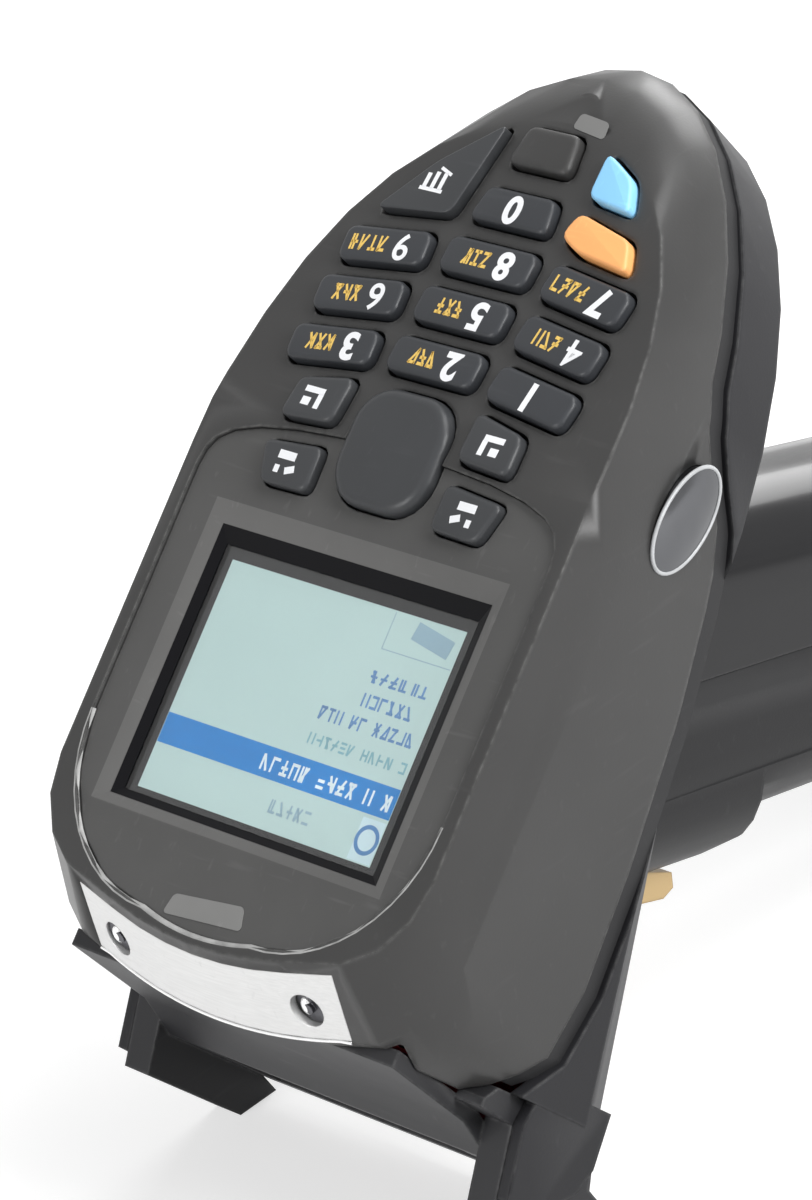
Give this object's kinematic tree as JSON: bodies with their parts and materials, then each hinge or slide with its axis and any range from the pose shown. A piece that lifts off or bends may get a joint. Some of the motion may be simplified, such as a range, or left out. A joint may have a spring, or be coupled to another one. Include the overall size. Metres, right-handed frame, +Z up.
{
  "type": "portable barcode data terminal",
  "caption": "Hand-held barcode data terminal with a display, keypad, scan window in the nose, trigger and a raked grip.",
  "frame": {"origin": "centre of the bounding box on the table plane that the nose pads and the butt rest on", "axes": "+Z up from the table; +X to the user's left, across the head; -Y towards the nose, +Y towards the butt of the grip"},
  "size_m": [0.076, 0.2038, 0.1346],
  "materials": {
    "shell": "fine grain",
    "bezel": "fine grain",
    "window": "clear",
    "lcd": "gloss",
    "tray": "matt",
    "mat": "matt",
    "board": "solder resist",
    "digit_key": "satin",
    "side_key": "satin",
    "blue_key": "satin",
    "orange_key": "satin",
    "silver": "satin",
    "contact": "satin",
    "gasket": "matt",
    "base": "fine grain",
    "hood": "fine grain",
    "scan_glass": "clear",
    "engine": "matt",
    "bracket": "brushed",
    "side_lens": "gloss",
    "can": "satin",
    "beeper": "matt",
    "grip": "fine grain",
    "grip_back": "gloss",
    "trigger": "satin",
    "steel": "satin",
    "switch": "matt",
    "battery": "satin",
    "gold": "satin",
    "door": "fine grain"
  },
  "bodies": {
    "terminal": {"upper_shell": "shell", "display_bezel": "bezel", "display_window": "window", "lcd_panel": "lcd", "lcd_tray": "tray", "keypad_mat": "mat", "keypad_board": "board", "contact_strip": "silver", "contact_screws": "contact", "shell_gasket": "gasket", "head_base": "base", "scan_hood": "hood", "scan_window": "scan_glass", "scan_engine": "engine", "engine_bracket": "bracket", "side_lens_left": "side_lens", "side_lens_right": "side_lens", "main_board": "board", "radio_card": "can", "beeper": "beeper", "grip_left": "grip", "grip_right": "grip", "grip_back": "grip_back", "trigger_pin": "steel", "trigger_springs": "steel", "trigger_switch": "switch", "battery_pack": "battery", "battery_contacts": "gold", "door_pin": "steel", "head_screws": "steel", "grip_dowels": "steel"},
    "key_1_body": {"key_1": "digit_key"},
    "key_2_body": {"key_2": "digit_key"},
    "key_3_body": {"key_3": "digit_key"},
    "key_4_body": {"key_4": "digit_key"},
    "key_5_body": {"key_5": "digit_key"},
    "key_6_body": {"key_6": "digit_key"},
    "key_7_body": {"key_7": "digit_key"},
    "key_8_body": {"key_8": "digit_key"},
    "key_9_body": {"key_9": "digit_key"},
    "key_0_body": {"key_0": "digit_key"},
    "key_left_upper_body": {"key_left_upper": "side_key"},
    "key_left_lower_body": {"key_left_lower": "side_key"},
    "key_right_upper_body": {"key_right_upper": "side_key"},
    "key_right_lower_body": {"key_right_lower": "side_key"},
    "key_power_body": {"key_power": "side_key"},
    "key_plain_body": {"key_plain": "side_key"},
    "key_blue_body": {"key_blue": "blue_key"},
    "key_orange_body": {"key_orange": "orange_key"},
    "nav_pad_body": {"nav_pad": "side_key"},
    "trigger_body": {"trigger": "trigger"},
    "door_body": {"butt_door": "door", "door_seal": "gasket"},
    "lock_body": {"door_lock": "steel"}
  },
  "joints": [
    {"name": "key_1_press", "type": "slide", "parent": "terminal", "child": "key_1_body", "axis": [0, 0.5807, -0.8141], "range_m": [0, 0.0008], "stiffness_N_per_m": 1500, "springref_m": -0.0003},
    {"name": "key_2_press", "type": "slide", "parent": "terminal", "child": "key_2_body", "axis": [0, 0.5807, -0.8141], "range_m": [0, 0.0008], "stiffness_N_per_m": 1500, "springref_m": -0.0003},
    {"name": "key_3_press", "type": "slide", "parent": "terminal", "child": "key_3_body", "axis": [0, 0.5807, -0.8141], "range_m": [0, 0.0008], "stiffness_N_per_m": 1500, "springref_m": -0.0003},
    {"name": "key_4_press", "type": "slide", "parent": "terminal", "child": "key_4_body", "axis": [0, 0.5807, -0.8141], "range_m": [0, 0.0008], "stiffness_N_per_m": 1500, "springref_m": -0.0003},
    {"name": "key_5_press", "type": "slide", "parent": "terminal", "child": "key_5_body", "axis": [0, 0.5807, -0.8141], "range_m": [0, 0.0008], "stiffness_N_per_m": 1500, "springref_m": -0.0003},
    {"name": "key_6_press", "type": "slide", "parent": "terminal", "child": "key_6_body", "axis": [0, 0.5807, -0.8141], "range_m": [0, 0.0008], "stiffness_N_per_m": 1500, "springref_m": -0.0003},
    {"name": "key_7_press", "type": "slide", "parent": "terminal", "child": "key_7_body", "axis": [0, 0.5807, -0.8141], "range_m": [0, 0.0008], "stiffness_N_per_m": 1500, "springref_m": -0.0003},
    {"name": "key_8_press", "type": "slide", "parent": "terminal", "child": "key_8_body", "axis": [0, 0.5807, -0.8141], "range_m": [0, 0.0008], "stiffness_N_per_m": 1500, "springref_m": -0.0003},
    {"name": "key_9_press", "type": "slide", "parent": "terminal", "child": "key_9_body", "axis": [0, 0.5807, -0.8141], "range_m": [0, 0.0008], "stiffness_N_per_m": 1500, "springref_m": -0.0003},
    {"name": "key_0_press", "type": "slide", "parent": "terminal", "child": "key_0_body", "axis": [0, 0.5807, -0.8141], "range_m": [0, 0.0008], "stiffness_N_per_m": 1500, "springref_m": -0.0003},
    {"name": "key_left_upper_press", "type": "slide", "parent": "terminal", "child": "key_left_upper_body", "axis": [0, 0.5807, -0.8141], "range_m": [0, 0.0008], "stiffness_N_per_m": 1500, "springref_m": -0.0003},
    {"name": "key_left_lower_press", "type": "slide", "parent": "terminal", "child": "key_left_lower_body", "axis": [0, 0.682, -0.7314], "range_m": [0, 0.0008], "stiffness_N_per_m": 1500, "springref_m": -0.0003},
    {"name": "key_right_upper_press", "type": "slide", "parent": "terminal", "child": "key_right_upper_body", "axis": [0, 0.5807, -0.8141], "range_m": [0, 0.0008], "stiffness_N_per_m": 1500, "springref_m": -0.0003},
    {"name": "key_right_lower_press", "type": "slide", "parent": "terminal", "child": "key_right_lower_body", "axis": [0, 0.682, -0.7314], "range_m": [0, 0.0008], "stiffness_N_per_m": 1500, "springref_m": -0.0003},
    {"name": "key_power_press", "type": "slide", "parent": "terminal", "child": "key_power_body", "axis": [0, 0.5807, -0.8141], "range_m": [0, 0.0008], "stiffness_N_per_m": 1500, "springref_m": -0.0003},
    {"name": "key_plain_press", "type": "slide", "parent": "terminal", "child": "key_plain_body", "axis": [0, 0.5807, -0.8141], "range_m": [0, 0.0008], "stiffness_N_per_m": 1500, "springref_m": -0.0003},
    {"name": "key_blue_press", "type": "slide", "parent": "terminal", "child": "key_blue_body", "axis": [0, 0.5807, -0.8141], "range_m": [0, 0.0008], "stiffness_N_per_m": 1500, "springref_m": -0.0003},
    {"name": "key_orange_press", "type": "slide", "parent": "terminal", "child": "key_orange_body", "axis": [0, 0.5807, -0.8141], "range_m": [0, 0.0008], "stiffness_N_per_m": 1500, "springref_m": -0.0003},
    {"name": "nav_pad_press", "type": "slide", "parent": "terminal", "child": "nav_pad_body", "axis": [0, 0.682, -0.7314], "range_m": [0, 0.0008], "stiffness_N_per_m": 1500, "springref_m": -0.0003},
    {"name": "trigger_pull", "type": "hinge", "parent": "terminal", "child": "trigger_body", "pos_m": [0, -0.03642, 0.03555], "axis": [1, 0, 0], "range_deg": [0, 12], "stiffness_Nm_per_rad": 0.9, "springref_deg": -5.73},
    {"name": "door_swing", "type": "hinge", "parent": "terminal", "child": "door_body", "pos_m": [0, 0.09922, 0.04528], "axis": [1, 0, 0], "range_deg": [0, 105]},
    {"name": "lock_turn", "type": "hinge", "parent": "door_body", "child": "lock_body", "pos_m": [0, 0.09029, 0.01196], "axis": [0, -0.9659, 0.2588], "range_deg": [0, 90]}
  ]
}
